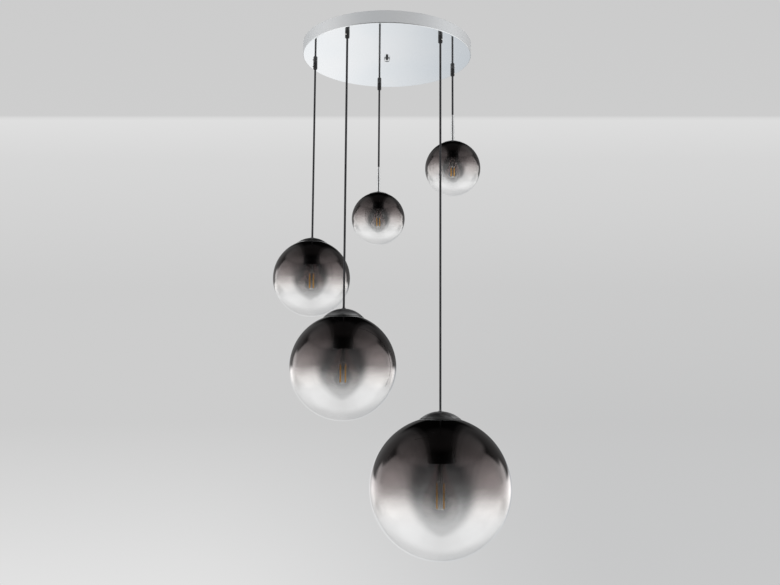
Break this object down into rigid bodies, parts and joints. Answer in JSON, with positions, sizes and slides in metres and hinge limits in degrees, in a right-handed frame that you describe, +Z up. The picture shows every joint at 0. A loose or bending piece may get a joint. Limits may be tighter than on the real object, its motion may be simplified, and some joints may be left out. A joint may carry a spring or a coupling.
{
  "type": "pendant light",
  "caption": "Pendant cluster with smoked glass globes at stepped heights on black cords under a round chrome ceiling canopy.",
  "frame": {"origin": "centre of the mounting bracket's top face, on the ceiling", "axes": "+Z up to the ceiling, +X to the right and -Y towards the viewer of the reference picture"},
  "size_m": [0.5881, 0.5766, 1.2949],
  "materials": {
    "chrome": "polished chrome",
    "zinc_steel": "bright zinc",
    "brass": "plain",
    "white_nylon": "moulded",
    "black_nylon": "moulded",
    "black_cord": "smooth sheath",
    "black_metal": "black satin",
    "black_phenolic": "moulded black",
    "smoked_glass": "smoked at the top, clear below",
    "clear_glass": "clear",
    "nickel": "nickel plated"
  },
  "bodies": {
    "root": {"canopy_pan": "chrome", "mounting_bracket": "zinc_steel", "centre_stud": "zinc_steel", "canopy_cap_nut": "chrome", "terminal_block": "white_nylon", "earth_screw": "brass", "cord_harness": "black_cord"},
    "grip_1": {"cord_grip_1": "black_nylon", "clamp_screw_1": "zinc_steel", "lock_nut_1": "zinc_steel"},
    "hanging_cord_1": {"cord_1": "black_cord"},
    "pendant_1": {"bulb_base_1": "nickel", "bulb_glass_1": "clear_glass", "cap_1": "chrome", "gallery_1": "black_metal", "globe_1": "smoked_glass", "lamp_holder_1": "black_phenolic", "stem_1": "chrome"},
    "grip_2": {"cord_grip_2": "black_nylon", "clamp_screw_2": "zinc_steel", "lock_nut_2": "zinc_steel"},
    "hanging_cord_2": {"cord_2": "black_cord"},
    "pendant_2": {"bulb_base_2": "nickel", "bulb_glass_2": "clear_glass", "cap_2": "chrome", "gallery_2": "black_metal", "globe_2": "smoked_glass", "lamp_holder_2": "black_phenolic", "stem_2": "chrome"},
    "grip_3": {"cord_grip_3": "black_nylon", "clamp_screw_3": "zinc_steel", "lock_nut_3": "zinc_steel"},
    "hanging_cord_3": {"cord_3": "black_cord"},
    "pendant_3": {"bulb_base_3": "nickel", "bulb_glass_3": "clear_glass", "cap_3": "chrome", "gallery_3": "black_metal", "globe_3": "smoked_glass", "lamp_holder_3": "black_phenolic"},
    "grip_4": {"cord_grip_4": "black_nylon", "clamp_screw_4": "zinc_steel", "lock_nut_4": "zinc_steel"},
    "hanging_cord_4": {"cord_4": "black_cord"},
    "pendant_4": {"bulb_base_4": "nickel", "bulb_glass_4": "clear_glass", "cap_4": "chrome", "gallery_4": "black_metal", "globe_4": "smoked_glass", "lamp_holder_4": "black_phenolic"},
    "grip_5": {"cord_grip_5": "black_nylon", "clamp_screw_5": "zinc_steel", "lock_nut_5": "zinc_steel"},
    "hanging_cord_5": {"cord_5": "black_cord"},
    "pendant_5": {"bulb_base_5": "nickel", "bulb_glass_5": "clear_glass", "cap_5": "chrome", "gallery_5": "black_metal", "globe_5": "smoked_glass", "lamp_holder_5": "black_phenolic"}
  },
  "joints": [
    {"name": "turn_1", "type": "hinge", "parent": "root", "child": "grip_1", "pos_m": [0.17835, 0.08128, -0.032], "axis": [0, 0, 1], "range_deg": [-180, 180]},
    {"name": "swing_1", "type": "hinge", "parent": "grip_1", "child": "hanging_cord_1", "pos_m": [0.17835, 0.08128, -0.0498], "axis": [-0.4147, 0.91, 0], "range_deg": [-6, 6]},
    {"name": "height_1", "type": "slide", "parent": "hanging_cord_1", "child": "pendant_1", "axis": [0, 0, 1], "range_m": [0, 0.09], "deforming": ["cord_1"]},
    {"name": "turn_2", "type": "hinge", "parent": "root", "child": "grip_2", "pos_m": [-0.02219, 0.19474, -0.032], "axis": [0, 0, 1], "range_deg": [-180, 180]},
    {"name": "swing_2", "type": "hinge", "parent": "grip_2", "child": "hanging_cord_2", "pos_m": [-0.02219, 0.19474, -0.0498], "axis": [-0.9936, -0.1132, 0], "range_deg": [-6, 6]},
    {"name": "height_2", "type": "slide", "parent": "hanging_cord_2", "child": "pendant_2", "axis": [0, 0, 1], "range_m": [0, 0.18], "deforming": ["cord_2"]},
    {"name": "turn_3", "type": "hinge", "parent": "root", "child": "grip_3", "pos_m": [-0.19207, 0.03908, -0.032], "axis": [0, 0, 1], "range_deg": [-180, 180]},
    {"name": "swing_3", "type": "hinge", "parent": "grip_3", "child": "hanging_cord_3", "pos_m": [-0.19207, 0.03908, -0.0498], "axis": [-0.1994, -0.9799, 0], "range_deg": [-6, 6]},
    {"name": "height_3", "type": "slide", "parent": "hanging_cord_3", "child": "pendant_3", "axis": [0, 0, 1], "range_m": [0, 0.2], "deforming": ["cord_3"]},
    {"name": "turn_4", "type": "hinge", "parent": "root", "child": "grip_4", "pos_m": [-0.09652, -0.17059, -0.032], "axis": [0, 0, 1], "range_deg": [-180, 180]},
    {"name": "swing_4", "type": "hinge", "parent": "grip_4", "child": "hanging_cord_4", "pos_m": [-0.09652, -0.17059, -0.0498], "axis": [0.8704, -0.4924, 0], "range_deg": [-6, 6]},
    {"name": "height_4", "type": "slide", "parent": "hanging_cord_4", "child": "pendant_4", "axis": [0, 0, 1], "range_m": [0, 0.12], "deforming": ["cord_4"]},
    {"name": "turn_5", "type": "hinge", "parent": "root", "child": "grip_5", "pos_m": [0.13242, -0.14451, -0.032], "axis": [0, 0, 1], "range_deg": [-180, 180]},
    {"name": "swing_5", "type": "hinge", "parent": "grip_5", "child": "hanging_cord_5", "pos_m": [0.13242, -0.14451, -0.0498], "axis": [0.7373, 0.6756, 0], "range_deg": [-6, 6]},
    {"name": "height_5", "type": "slide", "parent": "hanging_cord_5", "child": "pendant_5", "axis": [0, 0, 1], "range_m": [0, 0.06], "deforming": ["cord_5"]}
  ]
}
